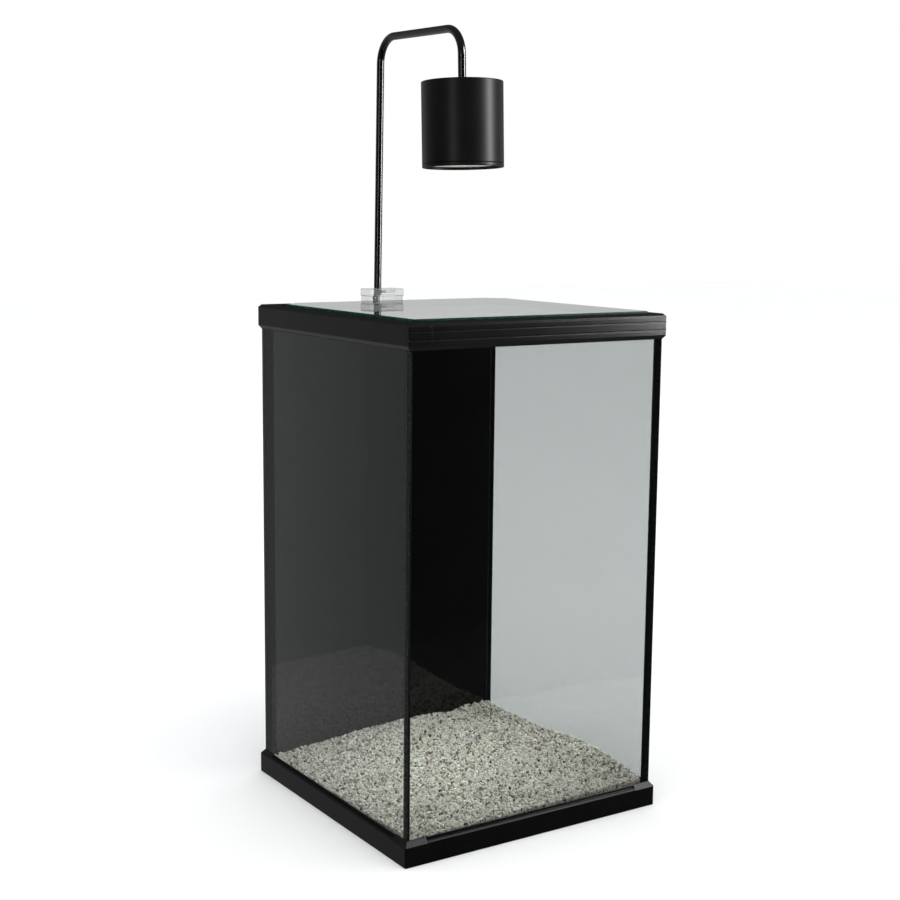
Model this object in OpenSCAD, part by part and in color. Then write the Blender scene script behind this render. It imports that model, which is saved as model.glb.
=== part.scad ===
// Tall square glass tank in black trim, with a lift-off glass cover, a gravel bed
// and a lamp on a bent tube that clips to the back rail.
// Millimetres. +Z up, -Y is the front. The origin is the centre of the base, on the floor.

/* [Tank] */
// Outer width and depth over the upper trim
tank_w = 300; // [290:1:320]
// Height of the tank to the top of the upper trim
tank_h = 509; // [480:1:560]
// Height of each trim ring
trim_h = 25.4; // [25:0.1:28]
// Length of a corner cap along each side
cap_len = 25; // [22:1:40]
// Thickness of the upright panes
pane_t = 5; // [4:0.5:6]
// Height of the top face of the floor pane
floor_top = 11; // [9:0.5:14]
// Side of the silicone fillet in each corner
seal_leg = 1; // [0.5:0.5:6]

/* [Gravel] */
// Gravel height at the front left corner
gravel_front_left = 24; // [18:1:40]
// Gravel height at the front right corner
gravel_front_right = 27; // [18:1:40]
// Gravel height at the back left corner
gravel_back_left = 18.5; // [16:0.5:40]
// Gravel height at the back right corner
gravel_back_right = 33; // [18:1:45]

/* [Cover] */
// Thickness of the glass cover
cover_t = 4; // [3:0.5:5]
// Depth to which the cover sits in the upper trim
cover_sink = 2; // [1:0.5:3]
// Leg of the cut at each back corner of the cover
cover_cut = 17; // [5:1:25]

/* [Lamp] */
// Sideways place of the lamp's clamp on the back rail
lamp_x = -6.5; // [-60:0.5:60]
// Outer diameter of the tube
tube_d = 8; // [7:0.5:8]
// Centreline radius of both bends
bend_r = 27; // [22:1:30]
// Height at which the post starts to bend
post_top = 760.5; // [720:1:800]
// How far the post leans forward, in degrees
post_lean = 1.2; // [0:0.1:2]
// Length of the straight arm between the bends
arm_len = 102; // [90:0.5:110]
// How far the arm points below level, in degrees
arm_droop = 1; // [0:0.5:3]
// How far the drop leg leans forward, in degrees
leg_splay = 2.3; // [0:0.1:5]
// Length of the straight drop leg above the shade
leg_len = 27; // [24:0.5:45]
// Diameter of the shade
shade_d = 81; // [80:1:90]
// Height of the shade with its bezel ring
shade_h = 83; // [82:1:95]

/* [Clamp] */
// Width of the clamp along the rail
clamp_w = 42; // [36:1:50]
// Height of the clamp above the rail
clamp_h = 14; // [14:0.5:18]

/* [Hidden] */
$fn = 64;

// Tank, across
half_w = tank_w / 2;
trim_wall = 3.1;
glass_half = half_w - trim_wall;
inner_half = glass_half - pane_t;
rail_len = tank_w - 2 * cap_len;
seam_gap = 1.5;
bevel = 3;
low_bevel = 4.1;
rim_slope_w = 2;
rim_slope_h = 1;
cap_edge_r = 1.5;

// Lower trim: a little wider than the upper one, its rails with a shoulder and a thin lip
low_half = half_w + 1.2;
low_rail_len = 2 * (low_half - cap_len);
foot_edge = 0.5;
cap_slope = 5.4;
ledge_t = 5.5;
ledge_half = half_w - 16;
shoulder_z = 22;
shoulder_w = 1.5;
lip_t = 0.8;
lip_top = 24.6;

// Upper trim: a seat for the cover, a flange under it and a channel over the panes
trim_low = tank_h - trim_h;
flange_half = half_w - 20;
seat_half = half_w - 11.8;
seat_z = tank_h - cover_sink;
flange_t = 2.5;
flange_z = seat_z - flange_t;
channel_gap = 0.3;
channel_lip_t = 2.5;
channel_out = inner_half - channel_gap;
channel_in = channel_out - channel_lip_t;
channel_z = trim_low + 10;
pane_top = flange_z - 0.5;
groove_in = 0.8;
groove_h = 1.4;
groove_lip = 0.5;
grooves = [tank_h - 15.6, tank_h - 7.8];
brow_z = tank_h - 3.8;

// Cover
cover_gap = 1.2;
cover_half = seat_half - cover_gap;
cover_front = cover_half + 1;
cover_back = flange_half - 5.5;
cover_corner_r = 3;
arris = 0.5;

// Clamp: a block over the back rail, a web down into the tank and a jaw under the flange
clamp_front = cover_back + 1;
clamp_back = half_w - 0.5;
clamp_z = tank_h + 0.3;
clamp_top = tank_h + clamp_h;
clamp_r = 2.5;
step_z = clamp_z + 6.2;
step_in = 0.6;
flute_r = 1;
flute_pitch = 5.5;
web_t = 4;
jaw_z = flange_z - 14;
jaw_t = 6;
jaw_d = 12.3;
screw_y = clamp_front + 8.3;
screw_r = 2.5;
tip_r = 2;
insert_r = 3.5;
run_gap = 0.05;
pad_r = 3.9;
pad_h = 4;
pad_cup = 2.5;
knob_r = 6;
knob_h = 9;
knob_z = jaw_z - 1.2 - knob_h;
knob_flutes = 8;
grub_r = 1.5;
grub_len = 6;
grub_h = 3.5;
gland_z = clamp_z + 3.1;
gland_r = 2.6;
gland_bore_r = 1.6;
gland_rim = 0.4;

// Lamp path: a heading of 0 points up, and grows as the tube turns to the front
tube_r = tube_d / 2;
tube_wall = 1;
bend_proud = 0.02;
bend_lap = 0.5;
post_x = lamp_x - 2;
post_y = half_w - 6;
post_foot = clamp_top - 7;
post_len = (post_top - post_foot) / cos(post_lean);
socket_gap = 0.2;
heading_arm = 90 + arm_droop;
heading_leg = 180 - leg_splay;
function along(h) = [0, -sin(h), cos(h)];
function inward(h) = [0, -cos(h), -sin(h)];
foot = [post_x, post_y, post_foot];
bend1_centre = foot + post_len * along(post_lean) + bend_r * inward(post_lean);
arm_start = bend1_centre - bend_r * inward(heading_arm);
arm_end = arm_start + arm_len * along(heading_arm);
bend2_centre = arm_end + bend_r * inward(heading_arm);
leg_start = bend2_centre - bend_r * inward(heading_leg);
shade_top = leg_start + leg_len * along(heading_leg);
leg_inside = 13;
leg_r = tube_r - bend_proud;

// Lamp head: depths are measured down from the top of the shade
shade_r = shade_d / 2;
shade_wall = 1.5;
shade_roof = 2;
bezel_h = 3.6;
bezel_edge = 0.4;
shell_h = shade_h - bezel_h;
core_r = shade_r - shade_wall;
washer_r = 9;
washer_t = 1;
nut_r = 7.5;
nut_t = 5;
sink_depth = 48;
sink_t = 3;
fin_h = 16;
fin_t = 1.4;
fin_count = 16;
board_depth = sink_depth + sink_t;
board_r = 30;
board_t = 1.6;
chip_depth = board_depth + board_t;
chip_w = 3;
chip_t = 0.8;
chip_rings = [[6, 9], [12, 18]];
board_screw_count = 3;
board_screw_ring = 24;
board_screw_r = 1.5;
board_screw_head_r = 2.8;
board_screw_head_t = 1.6;
collar_t = 1;
lens_r = core_r - collar_t;
lens_t = 2;
lens_recess = 2.8;
lens_depth = shade_h - lens_recess - lens_t;
collar_depth = lens_depth - 2;
reflector_r = 28;
reflector_t = 0.8;

trim_black = [0.06, 0.06, 0.065];
lamp_black = [0.04, 0.04, 0.045];
clear_glass = [0.75, 0.85, 0.82, 0.35];
back_glass = [0.02, 0.02, 0.025];
seam_black = [0.03, 0.03, 0.03];
gravel_grey = [0.66, 0.65, 0.61];
clear_plastic = [0.9, 0.9, 0.9, 0.4];
steel = [0.7, 0.7, 0.72];
brass = [0.75, 0.6, 0.3];
rubber_black = [0.05, 0.05, 0.05];

// ------------------------------------------------------------ trim
// Outlines in (distance from the centre, height)
module bottom_rail_profile() {
    polygon([
        [ledge_half, 0], [low_half - foot_edge, 0], [low_half, foot_edge],
        [low_half, shoulder_z - shoulder_w], [low_half - shoulder_w, shoulder_z],
        [glass_half + lip_t, shoulder_z], [glass_half + lip_t, lip_top],
        [glass_half, lip_top], [glass_half, ledge_t], [ledge_half, ledge_t]
    ]);
}

module bottom_cap_profile() {
    polygon([
        [ledge_half, 0], [low_half - foot_edge, 0], [low_half, foot_edge],
        [low_half, trim_h - cap_slope], [glass_half, trim_h],
        [glass_half, ledge_t], [ledge_half, ledge_t]
    ]);
}

function groove_points(z) = [
    [half_w, z - groove_h], [half_w - groove_in, z - groove_h + groove_lip],
    [half_w - groove_in, z], [half_w, z]
];

function brow_points() = [
    [half_w, brow_z], [half_w - groove_in, brow_z + groove_lip],
    [half_w - groove_in, tank_h - bevel + groove_in]
];

// The front and back of the upper trim are ribbed, and its sides are plain
module top_profile(ribbed) {
    face = ribbed
        ? concat(groove_points(grooves[0]), groove_points(grooves[1]), brow_points())
        : [[half_w, tank_h - bevel]];
    polygon(concat(
        [[glass_half, trim_low], [half_w, trim_low + low_bevel]],
        face,
        [
            [half_w - bevel, tank_h], [seat_half + rim_slope_w, tank_h],
            [seat_half, tank_h - rim_slope_h], [seat_half, seat_z],
            [flange_half, seat_z], [flange_half, flange_z],
            [channel_in, flange_z], [channel_in, channel_z],
            [channel_out, channel_z], [channel_out, pane_top], [glass_half, pane_top]
        ]
    ));
}

// A length of profile along the front, turned to the side it belongs to
module side_run(turn, len) {
    rotate([0, 0, turn])
        rotate([90, 0, 90])
            translate([0, 0, -len / 2])
                linear_extrude(len)
                    mirror([1, 0])
                        children();
}

// The part of a side that lies in the front left corner, up to the mitre
module mitred(turn) {
    side_end = turn == 0 ? [0, -tank_w] : [-tank_w, 0];
    intersection() {
        side_run(turn, 2 * low_half) children();
        linear_extrude(tank_h + bevel)
            polygon([[0, 0], [-tank_w, -tank_w], side_end]);
    }
}

module cap_plan(half) {
    translate([-half, -half + cap_edge_r])
        square([cap_len, cap_len - cap_edge_r]);
    translate([-half + cap_edge_r, -half])
        square([cap_len - cap_edge_r, cap_len]);
    translate([-half + cap_edge_r, -half + cap_edge_r])
        circle(cap_edge_r);
}

// A corner cap: the first child is the arm along the front, the second the arm along the left
module cap(turn, half) {
    color(trim_black)
        rotate([0, 0, turn])
            intersection() {
                union() {
                    mitred(0) children(0);
                    mitred(-90) children(1);
                }
                linear_extrude(tank_h + bevel)
                    cap_plan(half);
            }
}

module bottom_cap(turn) {
    cap(turn, low_half) {
        bottom_cap_profile();
        bottom_cap_profile();
    }
}

module top_cap(turn, front_ribbed) {
    cap(turn, half_w) {
        top_profile(front_ribbed);
        top_profile(!front_ribbed);
    }
}

module bottom_rail(turn) {
    color(trim_black)
        side_run(turn, low_rail_len) bottom_rail_profile();
}

module top_rail(turn, ribbed) {
    color(trim_black)
        side_run(turn, rail_len) top_profile(ribbed);
}

// ------------------------------------------------------------ glass and gravel
// The front and back panes are full width, and the side panes stand between them
module upright_pane(turn, width) {
    rotate([0, 0, turn])
        translate([-width / 2, -glass_half, ledge_t])
            cube([width, pane_t, pane_top - ledge_t]);
}

module front_pane() {
    color(clear_glass)
        upright_pane(0, 2 * glass_half);
}

module back_pane() {
    color(back_glass)
        upright_pane(180, 2 * glass_half);
}

module left_pane() {
    color(clear_glass)
        upright_pane(-90, 2 * (inner_half - seam_gap));
}

module right_pane() {
    color(clear_glass)
        upright_pane(90, 2 * (inner_half - seam_gap));
}

module floor_pane() {
    color(clear_glass)
        translate([-inner_half, -inner_half, ledge_t])
            cube([2 * inner_half, 2 * inner_half, floor_top - ledge_t]);
}

// The joint between two panes, with the fillet inside it
module seam() {
    seam_h = pane_top - floor_top - 12;
    translate([0, 0, floor_top])
        linear_extrude(seam_h) {
            translate([-glass_half, -inner_half])
                square([pane_t, seam_gap]);
            translate([-inner_half, -inner_half])
                polygon([[0, 0], [seal_leg, 0], [0, seal_leg]]);
        }
}

module silicone_seams() {
    color(seam_black)
        for (side_x = [0, 1], side_y = [0, 1])
            mirror([side_x, 0, 0])
                mirror([0, side_y, 0])
                    seam();
}

// Gravel: four corner heights, a drift on the right wall, a ridge and a dip on the back wall
gravel_half = inner_half - 0.3;
gravel_inset = 4;
gravel_cells = 16;
function bump(x, y, cx, cy, r) = exp(-(pow(x - cx, 2) + pow(y - cy, 2)) / pow(r, 2));
function corner_mix(u, v) =
    (1 - v) * ((1 - u) * gravel_front_left + u * gravel_front_right)
    + v * ((1 - u) * gravel_back_left + u * gravel_back_right);
function gravel_z(x, y) =
    corner_mix((x / gravel_half + 1) / 2, (y / gravel_half + 1) / 2)
    + 10 * bump(x, y, 141, -55, 75)
    + 4 * bump(x, y, -10, 141, 80)
    - 3.5 * bump(x, y, 86, 141, 14);
function gravel_point(i, j) =
    let (
        at_corner = (i == 0 || i == gravel_cells) && (j == 0 || j == gravel_cells),
        reach = gravel_half - (at_corner ? gravel_inset : 0),
        x = (2 * i / gravel_cells - 1) * reach,
        y = (2 * j / gravel_cells - 1) * reach
    ) [x, y];
function upper(p) = [p[0], p[1], gravel_z(p[0], p[1])];
function lower(p) = [p[0], p[1], floor_top];

module gravel() {
    n = gravel_cells;
    row = n + 1;
    rim = concat(
        [for (i = [0:n - 1]) i],
        [for (j = [0:n - 1]) j * row + n],
        [for (i = [n:-1:1]) n * row + i],
        [for (j = [n:-1:1]) j * row]
    );
    rim_len = len(rim);
    top_points = [for (j = [0:n], i = [0:n]) upper(gravel_point(i, j))];
    low_points = [for (k = rim) lower(gravel_point(k % row, floor(k / row)))];
    low = row * row;
    top_faces = [
        for (j = [0:n - 1], i = [0:n - 1])
            for (half = [0, 1])
                let (a = j * row + i, b = a + 1, c = a + row + 1, d = a + row)
                half == 0 ? [a, c, b] : [a, d, c]
    ];
    wall_faces = [
        for (k = [0:rim_len - 1])
            for (half = [0, 1])
                let (next = (k + 1) % rim_len)
                half == 0
                    ? [rim[k], rim[next], low + next]
                    : [rim[k], low + next, low + k]
    ];
    floor_face = [[for (k = [0:rim_len - 1]) low + k]];
    color(gravel_grey)
        polyhedron(concat(top_points, low_points), concat(top_faces, wall_faces, floor_face));
}

// The cover has rounded front corners, cut back corners and ground edges
module cover_plan(shrink) {
    x = cover_half - shrink;
    front = -cover_front + shrink;
    back = cover_back - shrink;
    r = cover_corner_r;
    polygon([
        [-x, front + r], [-x + r, front], [x - r, front], [x, front + r],
        [x, back - cover_cut], [x - cover_cut, back],
        [-x + cover_cut, back], [-x, back - cover_cut]
    ]);
    for (side = [-1, 1])
        translate([side * (x - r), front + r])
            circle(r);
}

module glass_cover() {
    color(clear_glass)
        translate([0, 0, seat_z]) {
            linear_extrude(cover_t) cover_plan(arris);
            translate([0, 0, arris])
                linear_extrude(cover_t - 2 * arris) cover_plan(0);
        }
}

// ------------------------------------------------------------ clamp
module clamp_plan(inset) {
    w = clamp_w - 2 * inset;
    front = clamp_front + inset;
    back = clamp_back - inset;
    r = clamp_r;
    translate([lamp_x - w / 2, front + r])
        square([w, back - front - 2 * r]);
    translate([lamp_x - w / 2 + r, front])
        square([w - 2 * r, back - front]);
    for (side = [-1, 1], y = [front + r, back - r])
        translate([lamp_x + side * (w / 2 - r), y])
            circle(r);
}

// Clear moulding: tube socket, cable way, fluted front, web and threaded jaw
module clamp_body() {
    web_w = clamp_w - 2 * step_in - 2 * clamp_r;
    flutes = floor((web_w / 2 - flute_r) / flute_pitch);
    color(clear_plastic)
        difference() {
            union() {
                translate([0, 0, step_z])
                    linear_extrude(clamp_top - step_z) clamp_plan(0);
                translate([0, 0, clamp_z])
                    linear_extrude(step_z - clamp_z) clamp_plan(step_in);
                translate([lamp_x - web_w / 2, clamp_front + step_in, jaw_z])
                    cube([web_w, web_t - step_in, clamp_z - jaw_z]);
                translate([lamp_x - web_w / 2, clamp_front + step_in, jaw_z])
                    cube([web_w, jaw_d - step_in, jaw_t]);
            }
            for (i = [-flutes:flutes])
                translate([lamp_x + i * flute_pitch, clamp_front + step_in, clamp_z - 1])
                    cylinder(r = flute_r, h = step_z - clamp_z + 1);
            upright(foot - socket_gap * along(post_lean), post_lean)
                cylinder(r = tube_r + run_gap, h = clamp_top - post_foot + 1);
            translate([post_x, post_y, gland_z - gland_r])
                cylinder(r = gland_r, h = post_foot - gland_z + gland_r);
            translate([post_x, post_y, gland_z])
                rotate([-90, 0, 0])
                    cylinder(r = gland_r, h = clamp_back - post_y + 1);
            upright(foot + grub_h * along(post_lean), post_lean)
                rotate([0, 90, 0])
                    cylinder(r = grub_r, h = clamp_w);
            translate([lamp_x, screw_y, jaw_z - 1])
                cylinder(r = insert_r, h = jaw_t + 2);
        }
}

module clamp_insert() {
    color(brass)
        translate([lamp_x, screw_y, jaw_z])
            difference() {
                cylinder(r = insert_r, h = jaw_t);
                translate([0, 0, -1])
                    cylinder(r = screw_r + run_gap, h = jaw_t + 2);
            }
}

// Set screw that steadies the tube in its socket, with a hexagon recess
module grub_screw() {
    color(steel)
        upright(foot + grub_h * along(post_lean), post_lean)
            translate([tube_r + run_gap, 0, 0])
                rotate([0, 90, 0])
                    difference() {
                        cylinder(r = grub_r, h = grub_len);
                        translate([0, 0, grub_len - 1.5])
                            cylinder(r = grub_r / 2, h = 2, $fn = 6);
                    }
}

module cable_gland() {
    inside = 3;
    color(rubber_black)
        translate([post_x, clamp_back - step_in - inside, gland_z])
            rotate([-90, 0, 0])
                difference() {
                    union() {
                        cylinder(r = gland_r, h = inside + step_in);
                        translate([0, 0, inside])
                            cylinder(r = gland_r + gland_rim, h = step_in + gland_rim);
                    }
                    translate([0, 0, -1])
                        cylinder(r = gland_bore_r, h = inside + 4);
                }
}

// Cup that presses on the underside of the flange and rides on the screw's tip
module pressure_pad() {
    color(rubber_black)
        translate([lamp_x, screw_y, flange_z - pad_h])
            difference() {
                cylinder(r = pad_r, h = pad_h);
                translate([0, 0, -1])
                    cylinder(r = tip_r + run_gap, h = pad_cup + 1);
            }
}

module clamp_screw() {
    shaft_z = knob_z + 2;
    shaft_top = flange_z - pad_h - 0.2;
    color(steel)
        translate([lamp_x, screw_y, 0]) {
            translate([0, 0, shaft_z])
                cylinder(r = screw_r, h = shaft_top - shaft_z);
            translate([0, 0, shaft_top])
                cylinder(r = tip_r, h = pad_cup);
        }
}

module clamp_knob() {
    grip_r = 1.2;
    color(rubber_black)
        translate([lamp_x, screw_y, knob_z])
            difference() {
                union() {
                    cylinder(r = knob_r - 0.6, h = knob_h);
                    translate([0, 0, 0.6])
                        cylinder(r = knob_r, h = knob_h - 1.2);
                }
                for (i = [0:knob_flutes - 1])
                    rotate([0, 0, i * 360 / knob_flutes])
                        translate([knob_r + 0.4, 0, -1])
                            cylinder(r = grip_r, h = knob_h + 2);
                translate([0, 0, 2])
                    cylinder(r = screw_r, h = knob_h);
            }
}

// ------------------------------------------------------------ lamp tube
module bend(centre, heading, angle, r) {
    translate(centre)
        rotate([90, 0, 90])
            rotate([0, 0, heading])
                rotate_extrude(angle = angle)
                    translate([bend_r, 0])
                        circle(r);
}

// Turns the upright direction to a heading
module upright(place, heading) {
    translate(place)
        rotate([heading, 0, 0])
            children();
}

// The straight lengths are a hair thinner than the bends and lap into them
module straight(place, heading, len, r) {
    upright(place - bend_lap * along(heading), heading)
        cylinder(r = r - bend_proud, h = len + bend_lap);
}

module tube_run(r, over) {
    straight(foot + (bend_lap - over) * along(post_lean), post_lean, post_len + over, r);
    bend(bend1_centre, post_lean, heading_arm - post_lean, r);
    straight(arm_start, heading_arm, arm_len + bend_lap, r);
    bend(bend2_centre, heading_arm, heading_leg - heading_arm, r);
    straight(leg_start, heading_leg, leg_len + leg_inside + over, r);
}

module lamp_tube() {
    color(lamp_black)
        difference() {
            tube_run(tube_r, 0);
            tube_run(tube_r - tube_wall, 1);
        }
}

// ------------------------------------------------------------ lamp head
// The head hangs from the drop leg: z = 0 is the top of the shade, and depths are negative
module at_head() {
    translate(shade_top)
        rotate([-leg_splay, 0, 0])
            children();
}

module lamp_shade() {
    e = bezel_edge;
    color(lamp_black)
        at_head()
            rotate_extrude()
                polygon([
                    [leg_r, 0], [shade_r - e, 0], [shade_r, -e],
                    [shade_r, -shell_h + e], [shade_r - e, -shell_h],
                    [core_r, -shell_h], [core_r, -shade_roof], [leg_r, -shade_roof]
                ]);
}

module tube_washer() {
    color(steel)
        at_head()
            rotate_extrude()
                translate([leg_r, -shade_roof - washer_t])
                    square([washer_r - leg_r, washer_t]);
}

module tube_nut() {
    color(steel)
        at_head()
            translate([0, 0, -shade_roof - washer_t - nut_t])
                difference() {
                    cylinder(r = nut_r, h = nut_t, $fn = 6);
                    translate([0, 0, -1])
                        cylinder(r = leg_r, h = nut_t + 2);
                }
}

module board_screw_places() {
    for (i = [0:board_screw_count - 1])
        rotate([0, 0, i * 360 / board_screw_count])
            translate([board_screw_ring, 0, 0])
                children();
}

module heat_sink() {
    fin_in = 12;
    fin_out = core_r - 2.5;
    color("silver")
        at_head() {
            translate([0, 0, -board_depth])
                difference() {
                    cylinder(r = core_r, h = sink_t);
                    board_screw_places()
                        translate([0, 0, -1])
                            cylinder(r = board_screw_r, h = sink_t + 2);
                }
            translate([0, 0, -sink_depth])
                linear_extrude(fin_h)
                    for (i = [0:fin_count - 1])
                        rotate(i * 360 / fin_count + 180 / fin_count)
                            translate([fin_in, -fin_t / 2])
                                square([fin_out - fin_in, fin_t]);
        }
}

module led_board() {
    color("white")
        at_head()
            translate([0, 0, -chip_depth])
                difference() {
                    cylinder(r = board_r, h = board_t);
                    board_screw_places()
                        translate([0, 0, -1])
                            cylinder(r = board_screw_r, h = board_t + 2);
                }
}

module led_chips() {
    color([0.95, 0.85, 0.4])
        at_head()
            for (ring = chip_rings, i = [0:ring[0] - 1])
                rotate([0, 0, i * 360 / ring[0]])
                    translate([ring[1] - chip_w / 2, -chip_w / 2, -chip_depth - chip_t])
                        cube([chip_w, chip_w, chip_t]);
}

module board_screws() {
    color(steel)
        at_head()
            board_screw_places() {
                translate([0, 0, -chip_depth])
                    cylinder(r = board_screw_r, h = board_t + sink_t);
                translate([0, 0, -chip_depth - board_screw_head_t])
                    cylinder(r = board_screw_head_r, h = board_screw_head_t);
            }
}

module reflector() {
    low = -lens_depth;
    high = -chip_depth;
    out_r = lens_r - reflector_t;
    color("white")
        at_head()
            rotate_extrude()
                polygon([
                    [reflector_r, high], [reflector_r + reflector_t, high],
                    [out_r + reflector_t, low], [out_r, low]
                ]);
}

module diffuser() {
    color([0.92, 0.9, 0.82])
        at_head()
            translate([0, 0, -lens_depth - lens_t])
                cylinder(r = lens_r, h = lens_t);
}

module bezel_ring() {
    e = bezel_edge;
    color(lamp_black)
        at_head()
            rotate_extrude()
                polygon([
                    [lens_r, -shade_h], [shade_r - e, -shade_h], [shade_r, -shade_h + e],
                    [shade_r, -shell_h - e], [shade_r - e, -shell_h],
                    [core_r, -shell_h], [core_r, -collar_depth], [lens_r, -collar_depth]
                ]);
}

bottom_rail(0);  // bottom_rail_front
bottom_rail(180);  // bottom_rail_back
bottom_rail(-90);  // bottom_rail_left
bottom_rail(90);  // bottom_rail_right
bottom_cap(0);  // bottom_cap_front_left
bottom_cap(90);  // bottom_cap_front_right
bottom_cap(180);  // bottom_cap_back_right
bottom_cap(-90);  // bottom_cap_back_left
top_rail(0, true);  // top_rail_front
top_rail(180, true);  // top_rail_back
top_rail(-90, false);  // top_rail_left
top_rail(90, false);  // top_rail_right
top_cap(0, true);  // top_cap_front_left
top_cap(90, false);  // top_cap_front_right
top_cap(180, true);  // top_cap_back_right
top_cap(-90, false);  // top_cap_back_left
front_pane();
back_pane();
left_pane();
right_pane();
floor_pane();
silicone_seams();
gravel();
glass_cover();
clamp_body();
clamp_insert();
grub_screw();
cable_gland();
pressure_pad();
clamp_screw();
clamp_knob();
lamp_tube();
lamp_shade();
tube_washer();
tube_nut();
heat_sink();
led_board();
led_chips();
board_screws();
reflector();
diffuser();
bezel_ring();
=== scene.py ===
import math

import bmesh
import bpy
import numpy as np
from mathutils import Matrix, Vector


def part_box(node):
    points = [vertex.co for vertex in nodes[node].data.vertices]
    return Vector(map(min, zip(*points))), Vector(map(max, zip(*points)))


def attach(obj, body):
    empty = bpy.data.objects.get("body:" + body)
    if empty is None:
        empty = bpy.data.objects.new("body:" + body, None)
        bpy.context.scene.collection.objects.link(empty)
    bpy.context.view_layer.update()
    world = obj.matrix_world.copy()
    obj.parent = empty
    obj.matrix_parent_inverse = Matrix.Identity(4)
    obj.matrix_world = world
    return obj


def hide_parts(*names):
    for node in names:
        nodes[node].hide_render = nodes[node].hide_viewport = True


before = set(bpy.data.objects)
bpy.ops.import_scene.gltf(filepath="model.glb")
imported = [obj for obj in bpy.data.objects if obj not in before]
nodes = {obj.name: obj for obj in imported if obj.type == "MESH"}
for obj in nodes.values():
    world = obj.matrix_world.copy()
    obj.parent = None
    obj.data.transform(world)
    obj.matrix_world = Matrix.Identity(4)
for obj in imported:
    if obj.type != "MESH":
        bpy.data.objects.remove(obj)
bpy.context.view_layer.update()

# Metres in a millimetre
MM = 0.001
# Seed of the gravel's random draws
SEED = 7

# The camera's place in metres, its yaw, pitch and roll in degrees, and its lens in millimetres
CAMERA_PLACE = (-0.8632, -1.3045, 0.6065)
CAMERA_TURN = (33.291, 8.826, 0.563)
CAMERA_LENS = 61.45
# Roughly the level direction from the camera to the object
BEHIND = (0.545, 0.838, 0)
# Half the width of the floor in metres
FLOOR_HALF = 9.0


# ---------------------------------------------------------------- shader graph helper
class Graph:
    """A node tree under construction: add() makes a node, sets its sockets and links what it is given."""

    def __init__(self, tree):
        self.tree = tree
        tree.nodes.clear()

    def add(self, kind, inputs=None, **settings):
        node = self.tree.nodes.new(kind)
        for name, value in settings.items():
            setattr(node, name, value)
        for key, value in (inputs or {}).items():
            socket = node.inputs[key]
            if isinstance(value, bpy.types.NodeSocket):
                self.tree.links.new(value, socket)
            else:
                socket.default_value = value
        return node

    def ramp(self, factor, stops, interpolation="LINEAR"):
        node = self.add("ShaderNodeValToRGB", {"Fac": factor})
        ramp = node.color_ramp
        ramp.interpolation = interpolation
        while len(ramp.elements) < len(stops):
            ramp.elements.new(0.5)
        for element, (place, colour) in zip(ramp.elements, stops):
            element.position = place
            element.color = (*colour, 1)
        return node.outputs["Color"]

    def math(self, operation, a, b=0.0):
        return self.add("ShaderNodeMath", {0: a, 1: b}, operation=operation).outputs[0]

    def mix(self, factor, a, b, blend="MIX"):
        node = self.add("ShaderNodeMix", data_type="RGBA", blend_type=blend)
        for index, value in ((0, factor), (6, a), (7, b)):
            if isinstance(value, bpy.types.NodeSocket):
                self.tree.links.new(value, node.inputs[index])
            else:
                node.inputs[index].default_value = value
        return node.outputs[2]

    def rescale(self, value, low, high):
        inputs = {"Value": value, "To Min": low, "To Max": high}
        return self.add("ShaderNodeMapRange", inputs).outputs["Result"]

    def place(self):
        return self.add("ShaderNodeTexCoord").outputs["Object"]

    def noise(self, scale, detail, stretch=None):
        source = self.place()
        if stretch:
            source = self.add("ShaderNodeMapping", {"Vector": source, "Scale": stretch}).outputs[0]
        inputs = {"Vector": source, "Scale": scale, "Detail": detail}
        return self.add("ShaderNodeTexNoise", inputs).outputs["Fac"]

    def edge_rounding(self, radius, samples=6):
        return self.add("ShaderNodeBevel", {"Radius": radius}, samples=samples).outputs[0]

    def bump(self, height, distance, strength=1.0, normal=None):
        inputs = {"Height": height, "Distance": distance, "Strength": strength}
        if normal:
            inputs["Normal"] = normal
        return self.add("ShaderNodeBump", inputs).outputs[0]

    def dot(self, a, b):
        return self.add("ShaderNodeVectorMath", {0: a, 1: b}, operation="DOT_PRODUCT").outputs["Value"]

    def true_normal(self):
        return self.add("ShaderNodeNewGeometry").outputs["True Normal"]

    def corners(self, rounded, limit):
        """1 along the corners, where the rounded normal leaves the true one, and 0 elsewhere."""
        return self.math("LESS_THAN", self.dot(self.true_normal(), rounded), limit)

    def facing(self, normal=None):
        """How far the surface turns away: 0 face on and 1 edge on."""
        inputs = {"Blend": 0.5}
        if normal:
            inputs["Normal"] = normal
        return self.add("ShaderNodeLayerWeight", inputs).outputs["Facing"]

    def blend(self, share, first, second):
        return self.add("ShaderNodeMixShader", {0: share, 1: first, 2: second}).outputs[0]

    def principled(self, inputs):
        return self.add("ShaderNodeBsdfPrincipled", inputs).outputs[0]

    def dulled(self, shader, normal, colour, share, power=2.0):
        """A dark shader whose mirror look fades where the surface turns away, towards a matte one."""
        matte = self.add("ShaderNodeBsdfDiffuse", {"Color": colour, "Normal": normal}).outputs[0]
        fade = self.math("MULTIPLY", self.math("POWER", self.facing(normal), power), share)
        return self.blend(fade, shader, matte)

    def surface(self, shader):
        self.add("ShaderNodeOutputMaterial", {"Surface": shader})


def material(name):
    made = bpy.data.materials.new(name)
    made.use_nodes = True
    return made, Graph(made.node_tree)


def dress(node_names, made):
    for name in node_names:
        for slot in nodes[name].material_slots:
            slot.material = made


def add_object(name, data):
    made = bpy.data.objects.new(name, data)
    bpy.context.scene.collection.objects.link(made)
    return made


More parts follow.
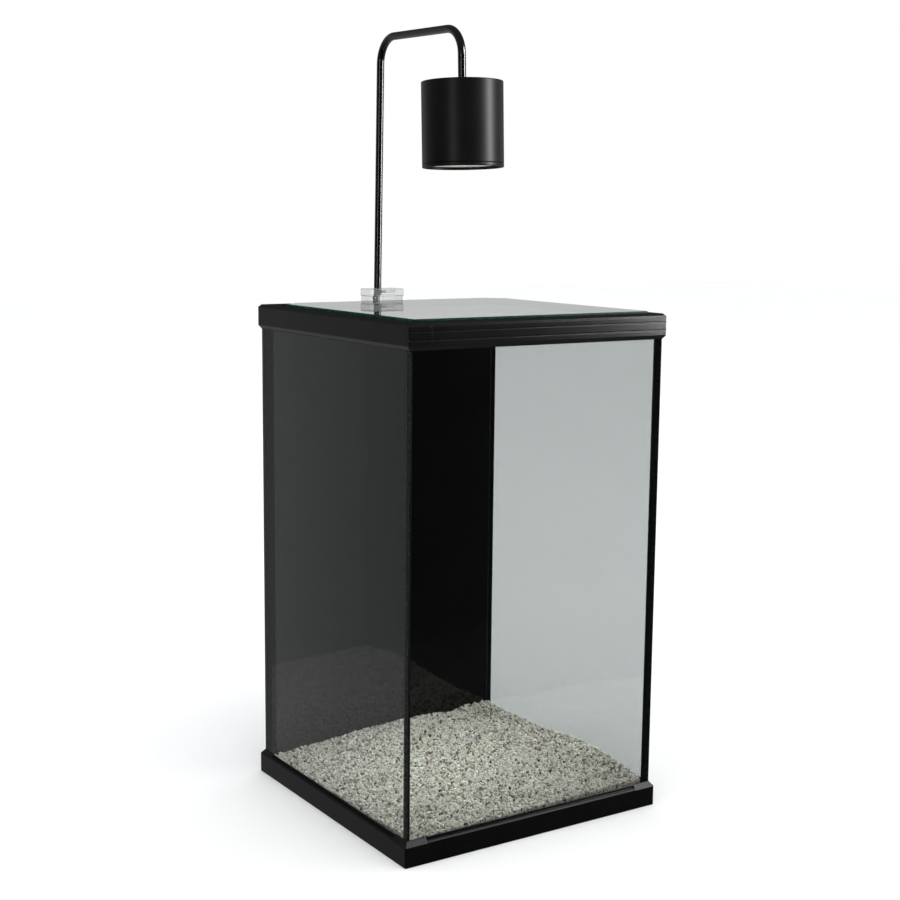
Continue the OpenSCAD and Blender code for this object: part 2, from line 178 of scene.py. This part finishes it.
# ---------------------------------------------------------------- materials, with lengths in metres
def trim_plastic():
    """Black moulded plastic: glossy, but rougher where it faces up and dust lies on it."""
    made, g = material("trim_plastic")
    grain = g.noise(scale=2600, detail=2)
    cloud = g.noise(scale=28, detail=4)
    colour = g.ramp(cloud, [(0.3, (0.0026, 0.0026, 0.0029)), (0.75, (0.004, 0.004, 0.0043))])
    upward = g.add("ShaderNodeSeparateXYZ", {0: g.true_normal()}).outputs["Z"]
    dusty = {"Value": upward, "From Min": 0.3, "From Max": 0.6, "To Max": 0.26}
    skin = g.math("ADD", g.rescale(cloud, 0.14, 0.19), g.math("MULTIPLY", grain, 0.04))
    rough = g.math("ADD", skin, g.add("ShaderNodeMapRange", dusty).outputs["Result"])
    normal = g.bump(grain, distance=0.00001, strength=0.3, normal=g.edge_rounding(radius=0.0007, samples=12))
    shader = g.principled({
        "Base Color": colour,
        "Roughness": rough,
        "IOR": 1.4,
        "Normal": normal,
    })
    g.surface(g.dulled(shader, normal, colour, share=0.97))
    return made


def silicone():
    """Black sealant, smoothed by hand into long soft waves."""
    made, g = material("silicone")
    wave = g.noise(scale=60, detail=3, stretch=(1, 1, 0.25))
    colour = g.ramp(wave, [(0.3, (0.0014, 0.0014, 0.0016)), (0.8, (0.003, 0.003, 0.0032))])
    shader = g.principled({
        "Base Color": colour,
        "Roughness": g.rescale(wave, 0.4, 0.6),
        "Normal": g.bump(wave, distance=0.0004, strength=0.6),
    })
    g.surface(shader)
    return made


def clear_glass(name, face_tint, edge_dark, edge_light, through, painted_highlight_strength=0.0):
    """Float glass: tinted see-through faces with gloss, and solid green edges.
    through is the direction of the pane's thickness: a side that faces another way is an edge.
    The last argument is how strongly a painted highlight, a pale matte colour, shows along the corner
    between a face and an edge."""
    made, g = material(name)
    smear = g.noise(scale=9, detail=4)
    schlick = g.math("ADD", g.math("MULTIPLY", g.math("POWER", g.facing(), 5.0), 0.96), 0.04)
    clear = g.add("ShaderNodeBsdfTransparent", {"Color": (*face_tint, 1)}).outputs[0]
    gloss_inputs = {"Color": (1, 1, 1, 1), "Roughness": g.rescale(smear, 0.0, 0.03)}
    gloss = g.add("ShaderNodeBsdfAnisotropic", gloss_inputs).outputs[0]
    face = g.blend(schlick, clear, gloss)

    streak = g.noise(scale=140, detail=5, stretch=(1, 1, 6))
    edge_colour = g.ramp(streak, [(0.35, edge_dark), (0.7, edge_light)])
    rounded = g.edge_rounding(radius=0.0009, samples=8)
    edge = g.principled({
        "Base Color": edge_colour,
        "Roughness": g.rescale(streak, 0.2, 0.35),
        "Specular IOR Level": 0.12,
        "Normal": rounded,
    })
    # A pale matte colour along the corners between a face and an edge: a painted highlight, standing in for
    # the light a polished corner catches.
    painted_highlight_share = g.math("MULTIPLY", g.corners(rounded, limit=0.97), painted_highlight_strength)
    painted_highlight_matte = g.add("ShaderNodeBsdfDiffuse", {"Color": (0.3, 0.33, 0.32, 1)}).outputs[0]
    turned_through = g.math("ABSOLUTE", g.dot(g.true_normal(), through))
    is_face = g.math("GREATER_THAN", turned_through, 0.7)
    g.surface(g.blend(painted_highlight_share, g.blend(is_face, edge, face), painted_highlight_matte))
    return made


def black_glass():
    """The back pane, painted black behind clear glass."""
    made, g = material("black_glass")
    smear = g.noise(scale=14, detail=5)
    colour = g.ramp(smear, [(0.3, (0.0011, 0.0011, 0.0013)), (0.8, (0.0022, 0.0022, 0.0025))])
    shader = g.principled({
        "Base Color": colour,
        "Roughness": g.rescale(smear, 0.02, 0.07),
        "Normal": g.edge_rounding(radius=0.0005),
    })
    g.surface(shader)
    return made


def gravel_stone():
    """Crushed stone: each grain has one of eight colours, with flecks over it."""
    made, g = material("gravel_stone")
    island = g.add("ShaderNodeNewGeometry").outputs["Random Per Island"]
    stone = g.ramp(island, [
        (0.00, (0.96, 0.945, 0.89)),
        (0.24, (0.91, 0.84, 0.72)),
        (0.44, (0.82, 0.805, 0.755)),
        (0.66, (0.63, 0.605, 0.55)),
        (0.79, (0.43, 0.405, 0.355)),
        (0.88, (0.50, 0.37, 0.25)),
        (0.92, (0.23, 0.205, 0.175)),
        (0.975, (0.07, 0.064, 0.058)),
    ], "CONSTANT")
    fleck = g.noise(scale=900, detail=4)
    veins = g.ramp(fleck, [
        (0.32, (0.70, 0.69, 0.68)),
        (0.5, (0.98, 0.98, 0.97)),
        (0.75, (1.0, 1.0, 0.98)),
    ])
    colour = g.mix(1.0, stone, veins, "MULTIPLY")
    shader = g.principled({
        "Base Color": colour,
        "Roughness": g.rescale(fleck, 0.55, 0.85),
        "Normal": g.bump(fleck, distance=0.00035, strength=0.8),
    })
    g.surface(shader)
    return made


def gravel_fines():
    """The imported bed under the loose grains, seen only through the gaps between them."""
    made, g = material("gravel_fines")
    cells = g.add("ShaderNodeTexVoronoi", {"Vector": g.place(), "Scale": 420.0})
    kind = g.add("ShaderNodeSeparateColor", {0: cells.outputs["Color"]}).outputs[0]
    colour = g.ramp(kind, [
        (0.0, (0.40, 0.39, 0.35)),
        (0.4, (0.74, 0.71, 0.65)),
        (0.75, (0.52, 0.46, 0.38)),
        (0.9, (0.09, 0.08, 0.07)),
    ])
    shader = g.principled({
        "Base Color": colour,
        "Roughness": g.rescale(cells.outputs["Distance"], 0.7, 0.95),
        "Normal": g.bump(cells.outputs["Distance"], distance=0.0012, strength=1.0),
    })
    g.surface(shader)
    return made


def gloss_lacquer():
    """Black gloss paint on the lamp's tube, with a clear coat and a faint orange peel."""
    made, g = material("gloss_lacquer")
    peel = g.noise(scale=60, detail=2)
    colour = g.ramp(peel, [(0.3, (0.0018, 0.0018, 0.0021)), (0.8, (0.003, 0.003, 0.0034))])
    normal = g.bump(peel, distance=0.00001, strength=0.2)
    shader = g.principled({
        "Base Color": colour,
        "Roughness": g.rescale(peel, 0.15, 0.2),
        "Coat Weight": 1.0,
        "Coat Roughness": 0.13,
        "Normal": normal,
    })
    g.surface(g.dulled(shader, normal, colour, share=0.98))
    return made


def satin_lacquer():
    """Black satin paint on the lamp's shade and its ring."""
    made, g = material("satin_lacquer")
    fine = g.noise(scale=1500, detail=3)
    cloud = g.noise(scale=35, detail=3)
    colour = g.ramp(cloud, [(0.3, (0.003, 0.003, 0.0033)), (0.8, (0.0045, 0.0045, 0.0049))])
    normal = g.bump(fine, distance=0.00003, strength=0.5, normal=g.edge_rounding(radius=0.0006))
    shader = g.principled({
        "Base Color": colour,
        "Roughness": g.math("ADD", g.rescale(cloud, 0.34, 0.38), g.math("MULTIPLY", fine, 0.04)),
        "IOR": 1.38,
        "Normal": normal,
    })
    g.surface(g.dulled(shader, normal, colour, share=0.75, power=2.5))
    return made


def clear_moulding():
    """Clear acrylic: see-through, with painted shade in its tint where its skin turns away and painted dark
    lines along its corners, and a little milk in it.
    """
    made, g = material("clear_moulding")
    ripple = g.noise(scale=160, detail=3)
    rounded = g.edge_rounding(radius=0.0012, samples=12)
    normal = g.bump(ripple, distance=0.0003, strength=0.5, normal=rounded)
    facing = g.facing(normal)
    # The see-through tint darkens where the skin turns away: painted shade.
    skin = g.ramp(facing, [
        (0.0, (0.95, 0.95, 0.95)),
        (0.45, (0.9, 0.9, 0.9)),
        (0.85, (0.34, 0.34, 0.345)),
    ])
    # Dark lines along the rounded corners: painted shade.
    painted_corner_shade = g.math("MULTIPLY", g.corners(rounded, limit=0.95), 0.6)
    skin = g.mix(painted_corner_shade, skin, (0.2, 0.2, 0.2, 1))
    clear = g.add("ShaderNodeBsdfTransparent", {"Color": skin}).outputs[0]
    milk = g.principled({
        "Base Color": (0.78, 0.78, 0.78, 1),
        "Roughness": g.rescale(ripple, 0.05, 0.15),
        "Normal": normal,
    })
    schlick = g.math("MULTIPLY", g.math("POWER", facing, 5.0), 0.5)
    share = g.math("ADD", schlick, g.rescale(ripple, 0.1, 0.18))
    g.surface(g.blend(share, clear, milk))
    return made


def metal(name, colour, rough, stretch):
    """Bare or plated metal. rough is its range of roughness, and stretch scales the brushing
    along x, y and z."""
    made, g = material(name)
    brush = g.noise(scale=500, detail=4, stretch=stretch)
    dark = tuple(0.8 * c for c in colour)
    shader = g.principled({
        "Base Color": g.ramp(brush, [(0.3, dark), (0.7, colour)]),
        "Metallic": 1.0,
        "Roughness": g.rescale(brush, *rough),
        "Normal": g.bump(brush, distance=0.00004, strength=0.5, normal=g.edge_rounding(radius=0.0003)),
    })
    g.surface(shader)
    return made


def plain_plastic(name, dark, light, rough, scale=700, depth=0.00005, subsurface=0.0):
    """Plastic, rubber or coating with a fine grain, between a dark and a light colour."""
    made, g = material(name)
    grain = g.noise(scale, detail=3)
    shader = g.principled({
        "Base Color": g.ramp(grain, [(0.3, dark), (0.75, light)]),
        "Roughness": g.rescale(grain, *rough),
        "Normal": g.bump(grain, distance=depth, strength=0.5, normal=g.edge_rounding(radius=0.0004)),
        "Subsurface Weight": subsurface,
        "Subsurface Scale": 0.004,
    })
    g.surface(shader)
    return made


# ---------------------------------------------------------------- gravel, in millimetres
gravel_low, gravel_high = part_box("gravel")
gravel_half = (gravel_high.x - gravel_low.x) / 2 / MM
gravel_floor = gravel_low.z / MM

# Heights of the bed's left and right corners, at the front and at the back
BED_FRONT = (24, 27)
BED_BACK = (18.5, 33)
# Mounds and dips on it: x, y, radius, height
BED_MOUNDS = (
    (141, -55, 75, 10),
    (-10, 141, 80, 4),
    (86, 141, 14, -3.5),
)
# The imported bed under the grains: depth under the surface, gaps to the glass and the floor,
# and squares on a side
BED_DEPTH = 2.6
BED_INSET = 0.9
BED_LIFT = 0.2
BED_SQUARES = 70

# Grains: number of different shapes, corners drawn for each, and how far the corners stray from a ball
GRAIN_SHAPES = 14
GRAIN_CORNERS = 13
GRAIN_STRAY = (0.78, 1.12)
# The radius of a grain: mean and spread of its logarithm, and its limits
GRAIN_LOG = (0.52, 0.24)
GRAIN_LIMITS = (1.0, 2.7)
# How far each grain is squashed or drawn out along its own axes
GRAIN_STRETCH = (0.62, 1.12)
# Loose layers on top: pitch between grains, and depth under the surface
TOP_LAYERS = ((2.9, 0.6), (3.2, 2.6))
# The skin against each wall: pitch along it, depth of the first row, step to the next, and number of rows
SKIN_PITCH = 2.9
SKIN_DEPTH = 1.8
SKIN_STEP = 2.6
SKIN_ROWS = 8
# How far grains stray from their grid, as a share of the pitch, and up or down
TOP_STRAY = 0.45
SKIN_STRAY = 0.4
RISE_STRAY = 0.6
# Width of the seam in the tank's corners, which the grains stay out of
SEAM = 1.0
# How far a grain's centre stays from a wall and from a seam, in its own radii
WALL_GAP = 1.02
SEAM_GAP = 1.5


def gravel_height(x, y):
    """Height of the bed: a surface through the four corner heights, with the mounds and dips added."""
    u = (x / gravel_half + 1) / 2
    v = (y / gravel_half + 1) / 2
    front = (1 - u) * BED_FRONT[0] + u * BED_FRONT[1]
    back = (1 - u) * BED_BACK[0] + u * BED_BACK[1]
    height = (1 - v) * front + v * back
    for mound_x, mound_y, radius, rise in BED_MOUNDS:
        height = height + rise * np.exp(-((x - mound_x) ** 2 + (y - mound_y) ** 2) / radius ** 2)
    return height


def grain_shapes(rng):
    """Angular crushed grains: convex hulls of jittered points, as (points, triangles)."""
    shapes = []
    for _ in range(GRAIN_SHAPES):
        points = rng.normal(size=(GRAIN_CORNERS, 3))
        points /= np.linalg.norm(points, axis=1, keepdims=True)
        points *= rng.uniform(*GRAIN_STRAY, (GRAIN_CORNERS, 1))
        mesh = bmesh.new()
        for p in points:
            mesh.verts.new(p)
        bmesh.ops.convex_hull(mesh, input=mesh.verts)
        loose = [v for v in mesh.verts if not v.link_faces]
        bmesh.ops.delete(mesh, geom=loose, context="VERTS")
        mesh.verts.index_update()
        bmesh.ops.triangulate(mesh, faces=mesh.faces)
        bmesh.ops.recalc_face_normals(mesh, faces=mesh.faces)
        corners = np.array([v.co[:] for v in mesh.verts])
        triangles = np.array([[v.index for v in f.verts] for f in mesh.faces])
        shapes.append((corners, triangles))
        mesh.free()
    return shapes


def random_turns(rng, count):
    """count rotation matrices, from unit quaternions drawn evenly."""
    q = rng.normal(size=(count, 4))
    q /= np.linalg.norm(q, axis=1, keepdims=True)
    w, x, y, z = q.T
    rows = [
        [1 - 2 * (y * y + z * z), 2 * (x * y - z * w), 2 * (x * z + y * w)],
        [2 * (x * y + z * w), 1 - 2 * (x * x + z * z), 2 * (y * z - x * w)],
        [2 * (x * z - y * w), 2 * (y * z + x * w), 1 - 2 * (x * x + y * y)],
    ]
    return np.array(rows).transpose(2, 0, 1)


def even_row(pitch):
    """Places a pitch apart, or a little more, from one wall to the other."""
    steps = int(2 * gravel_half / pitch)
    return (np.arange(steps) + 0.5) * 2 * gravel_half / steps - gravel_half


def grain_places(rng):
    """Where the grains lie: the layers on top, and then the skin on each wall."""
    places = []
    for pitch, depth in TOP_LAYERS:
        row = even_row(pitch)
        x, y = [a.ravel() for a in np.meshgrid(row, row)]
        x = x + rng.uniform(-TOP_STRAY, TOP_STRAY, x.size) * pitch
        y = y + rng.uniform(-TOP_STRAY, TOP_STRAY, y.size) * pitch
        z = gravel_height(x, y) - depth + rng.uniform(-RISE_STRAY, RISE_STRAY, x.size)
        places.append(np.stack([x, y, z], 1))
    row = even_row(SKIN_PITCH)
    out = np.full(row.size, gravel_half)
    # The right, back, left and front walls in turn
    for side in range(4):
        for level in range(SKIN_ROWS):
            along = row + rng.uniform(-SKIN_STRAY, SKIN_STRAY, row.size) * SKIN_PITCH
            x, y = (along, out) if side % 2 else (out, along)
            x, y = (x, y) if side < 2 else (-x, -y)
            depth = SKIN_DEPTH + level * SKIN_STEP
            z = gravel_height(x, y) - depth + rng.uniform(-RISE_STRAY, RISE_STRAY, row.size)
            places.append(np.stack([x, y, z], 1))
    return np.concatenate(places)


def kept_inside(places, size):
    """Grains pulled in from the walls, and dropped where they would meet a seam or the floor."""
    reach = gravel_half - size * WALL_GAP
    places[:, 0] = np.clip(places[:, 0], -reach, reach)
    places[:, 1] = np.clip(places[:, 1], -reach, reach)
    seam_line = 2 * gravel_half - SEAM - SEAM_GAP * size
    in_corner = np.abs(places[:, 0]) + np.abs(places[:, 1]) > seam_line
    keep = ~in_corner & (places[:, 2] > gravel_floor + size)
    return places[keep], size[keep]


def gravel_grains(stone):
    """All the loose grains as one mesh. Each is a copy of one of the shapes, sized, stretched and turned."""
    rng = np.random.default_rng(SEED)
    shapes = grain_shapes(rng)
    places = grain_places(rng)
    size = np.clip(rng.lognormal(*GRAIN_LOG, len(places)), *GRAIN_LIMITS)
    places, size = kept_inside(places, size)
    turns = random_turns(rng, len(places))
    stretch = rng.uniform(*GRAIN_STRETCH, (len(places), 3))
    kind = rng.integers(0, len(shapes), len(places))
    verts, faces, used = [], [], 0
    for k, (points, triangles) in enumerate(shapes):
        mine = np.flatnonzero(kind == k)
        scaled = points[None] * stretch[mine][:, None] * size[mine][:, None, None]
        moved = np.einsum("nij,nkj->nki", turns[mine], scaled) + places[mine][:, None]
        offsets = used + np.arange(len(mine)) * len(points)
        verts.append(moved.reshape(-1, 3))
        faces.append((triangles[None] + offsets[:, None, None]).reshape(-1, 3))
        used += len(mine) * len(points)
    mesh = triangle_mesh("gravel_grains", np.concatenate(verts) * MM, np.concatenate(faces))
    mesh.materials.append(stone)
    return add_object("gravel_grains", mesh)


def triangle_mesh(name, points, triangles):
    """A mesh from an array of points in metres and an array of three corners for each face."""
    mesh = bpy.data.meshes.new(name)
    mesh.vertices.add(len(points))
    mesh.vertices.foreach_set("co", points.ravel())
    mesh.loops.add(triangles.size)
    mesh.loops.foreach_set("vertex_index", triangles.ravel())
    mesh.polygons.add(len(triangles))
    mesh.polygons.foreach_set("loop_start", np.arange(0, triangles.size, 3))
    mesh.update(calc_edges=True)
    return mesh


def gravel_bed(fines):
    """A closed bed just under the loose grains: a top that follows them, straight sides and a flat foot."""
    half = gravel_half - BED_INSET
    grid = np.linspace(-half, half, BED_SQUARES + 1)
    foot_z = (gravel_floor + BED_LIFT) * MM
    mesh = bmesh.new()

    def top_corner(x, y):
        return mesh.verts.new((x * MM, y * MM, (gravel_height(x, y) - BED_DEPTH) * MM))

    top = [[top_corner(x, y) for x in grid] for y in grid]
    front, back = top[0], top[-1]
    left = [row[0] for row in top]
    right = [row[-1] for row in top]
    ring = front[:-1] + right[:-1] + back[:0:-1] + left[:0:-1]
    foot = [mesh.verts.new((v.co.x, v.co.y, foot_z)) for v in ring]
    for j in range(BED_SQUARES):
        for i in range(BED_SQUARES):
            mesh.faces.new((top[j][i], top[j][i + 1], top[j + 1][i + 1], top[j + 1][i]))
    for k in range(len(ring)):
        n = (k + 1) % len(ring)
        mesh.faces.new((ring[k], foot[k], foot[n], ring[n]))
    mesh.faces.new(list(reversed(foot)))
    bmesh.ops.recalc_face_normals(mesh, faces=mesh.faces)
    data = bpy.data.meshes.new("gravel_bed")
    mesh.to_mesh(data)
    mesh.free()
    data.materials.append(fines)
    return add_object("gravel_bed", data)


# ---------------------------------------------------------------- dressing the CAD nodes
def names_with(*starts):
    return [n for n in nodes if n.startswith(starts)]


def dress_tank():
    dress(names_with("bottom_rail", "bottom_cap", "top_rail", "top_cap"), trim_plastic())
    tint = (0.836, 0.85, 0.845)
    dark_edge = (0.0015, 0.004, 0.0032)
    lit_edge = (0.004, 0.012, 0.009)
    pane = (tint, dark_edge, lit_edge)
    dress(["front_pane"], clear_glass("pane_glass_y", *pane, through=(0, 1, 0), painted_highlight_strength=0.08))
    dress(["left_pane", "right_pane"], clear_glass("pane_glass_x", *pane, through=(1, 0, 0)))
    dress(["floor_pane"], clear_glass("floor_glass", *pane, through=(0, 0, 1)))
    cover_tint = (0.93, 0.955, 0.945)
    dark_green = (0.0008, 0.03, 0.017)
    lit_green = (0.005, 0.075, 0.048)
    cover = clear_glass("cover_glass", cover_tint, dark_green, lit_green, through=(0, 0, 1))
    dress(["glass_cover"], cover)
    dress(["back_pane"], black_glass())
    dress(["silicone_seams"], silicone())


def dress_lamp():
    dress(["lamp_tube"], gloss_lacquer())
    dress(["lamp_shade", "bezel_ring"], satin_lacquer())
    dress(["clamp_body"], clear_moulding())
    steel = metal("plated_steel", (0.62, 0.62, 0.63), rough=(0.18, 0.35), stretch=(1, 1, 8))
    dress(["grub_screw", "clamp_screw", "tube_washer", "tube_nut", "board_screws"], steel)
    brass = metal("turned_brass", (0.78, 0.6, 0.27), rough=(0.2, 0.35), stretch=(1, 1, 12))
    dress(["clamp_insert"], brass)
    aluminium = metal("cast_aluminium", (0.72, 0.73, 0.74), rough=(0.35, 0.5), stretch=(1, 1, 1))
    dress(["heat_sink"], aluminium)
    rubber = plain_plastic("soft_rubber", (0.01, 0.01, 0.01), (0.018, 0.018, 0.018), rough=(0.6, 0.8))
    dress(["cable_gland", "pressure_pad"], rubber)
    knob = plain_plastic("knob_plastic", (0.01, 0.01, 0.011), (0.016, 0.016, 0.017), rough=(0.4, 0.55))
    dress(["clamp_knob"], knob)
    board = plain_plastic("board_lacquer", (0.78, 0.79, 0.77), (0.86, 0.87, 0.85), rough=(0.3, 0.45))
    dress(["led_board"], board)
    phosphor = plain_plastic("led_phosphor", (0.8, 0.62, 0.12), (0.9, 0.74, 0.25), rough=(0.4, 0.6))
    dress(["led_chips"], phosphor)
    white = plain_plastic("reflector_white", (0.82, 0.8, 0.74), (0.9, 0.88, 0.83), rough=(0.15, 0.25))
    dress(["reflector"], white)
    opal = plain_plastic(
        "opal_lens", (0.76, 0.72, 0.6), (0.84, 0.81, 0.7), rough=(0.3, 0.42),
        scale=300, depth=0.00003, subsurface=0.3,
    )
    dress(["diffuser"], opal)


# ---------------------------------------------------------------- stage
def camera():
    yaw, pitch, roll = (math.radians(a) for a in CAMERA_TURN)
    ahead = math.cos(pitch)
    forward = Vector((math.sin(yaw) * ahead, math.cos(yaw) * ahead, -math.sin(pitch)))
    level = Vector((math.cos(yaw), -math.sin(yaw), 0))
    up = level.cross(forward)
    right = math.cos(roll) * level + math.sin(roll) * up
    top = -math.sin(roll) * level + math.cos(roll) * up
    data = bpy.data.cameras.new("camera")
    data.sensor_width = 36
    data.lens = CAMERA_LENS
    data.clip_start = 0.05
    data.clip_end = 60
    made = add_object("camera", data)
    turn = Matrix((right, top, -forward)).transposed()
    made.matrix_world = Matrix.Translation(CAMERA_PLACE) @ turn.to_4x4()
    bpy.context.scene.camera = made


def studio_world():
    """White to the camera and soft white for matte surfaces, with a room for gloss to mirror:
    bright behind the object, dim at its sides and overhead, and dark in front."""
    world = bpy.data.worlds.new("studio")
    bpy.context.scene.world = world
    world.use_nodes = True
    g = Graph(world.node_tree)
    direction = g.add("ShaderNodeTexCoord").outputs["Generated"]
    share = g.math("ADD", g.math("MULTIPLY", g.dot(direction, BEHIND), 0.5), 0.5)
    room = g.ramp(share, [
        (0.0, (0.02, 0.02, 0.021)),
        (0.30, (0.025, 0.025, 0.026)),
        (0.55, (0.14, 0.143, 0.146)),
        (0.72, (0.26, 0.265, 0.27)),
        (0.88, (0.58, 0.585, 0.59)),
        (1.0, (0.66, 0.665, 0.67)),
    ])
    height = g.add("ShaderNodeSeparateXYZ", {0: direction}).outputs["Z"]
    overhead = {"Value": height, "From Min": 0.12, "From Max": 0.5}
    sky = g.add("ShaderNodeMapRange", overhead).outputs["Result"]
    mirrored = g.mix(sky, room, (0.12, 0.12, 0.122, 1))
    path = g.add("ShaderNodeLightPath")
    soft = g.mix(path.outputs["Is Diffuse Ray"], mirrored, (1.11, 1.12, 1.13, 1))
    shown = g.mix(path.outputs["Is Camera Ray"], soft, (1, 1, 1, 1))
    background = g.add("ShaderNodeBackground", {"Color": shown}).outputs[0]
    g.add("ShaderNodeOutputWorld", {"Surface": background})


def area_light(name, place, target, width, height, power):
    data = bpy.data.lights.new(name, "AREA")
    data.shape = "RECTANGLE"
    data.size = width
    data.size_y = height
    data.energy = power
    made = add_object(name, data)
    made.location = place
    made.rotation_euler = (Vector(target) - Vector(place)).to_track_quat("-Z", "Y").to_euler()
    return made


def floor():
    half = FLOOR_HALF
    corners = [(-half, -half, 0), (half, -half, 0), (half, half, 0), (-half, half, 0)]
    mesh = bpy.data.meshes.new("floor")
    mesh.from_pydata(corners, [], [(0, 1, 2, 3)])
    made, g = material("pale_floor")
    tone = g.ramp(g.noise(scale=1.5, detail=2), [(0.3, (0.93, 0.93, 0.93)), (0.7, (0.95, 0.95, 0.95))])
    g.surface(g.add("ShaderNodeBsdfDiffuse", {"Color": tone, "Roughness": 0.3}).outputs[0])
    mesh.materials.append(made)
    placed = add_object("floor", mesh)
    placed.visible_glossy = False


def lights():
    """A soft key overhead for matte surfaces, a tall strip on each side for gloss,
    and a weak glow under the lamp, aimed down at the gravel."""
    key = area_light("key", place=(0.3, -0.4, 2.6), target=(0, 0, 0), width=1.6, height=1.6, power=14)
    key.visible_glossy = False
    right = area_light(
        "right_strip", place=(1.47, -1.37, 1.03), target=(0, 0, 0.6), width=0.3, height=1.45, power=43,
    )
    right.visible_diffuse = False
    left = area_light(
        "left_strip", place=(-1.8, -1.05, 0.7), target=(0, 0, 0.55), width=0.16, height=1.1, power=3.2,
    )
    left.visible_diffuse = False
    glow = area_light(
        "lamp_glow", place=(0, 0, 0.63), target=(0, 0, 0), width=0.28, height=0.28, power=0.3,
    )
    glow.data.spread = math.radians(34)
    glow.visible_glossy = False
    glow.visible_camera = False


# ---------------------------------------------------------------- build
dress_tank()
dress_lamp()
grains = gravel_grains(gravel_stone())
bed = gravel_bed(gravel_fines())
for piece in (grains, bed):
    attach(piece, "tank")
    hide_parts("gravel")
camera()
studio_world()
floor()
lights()
bpy.context.scene.view_settings.view_transform = "Standard"
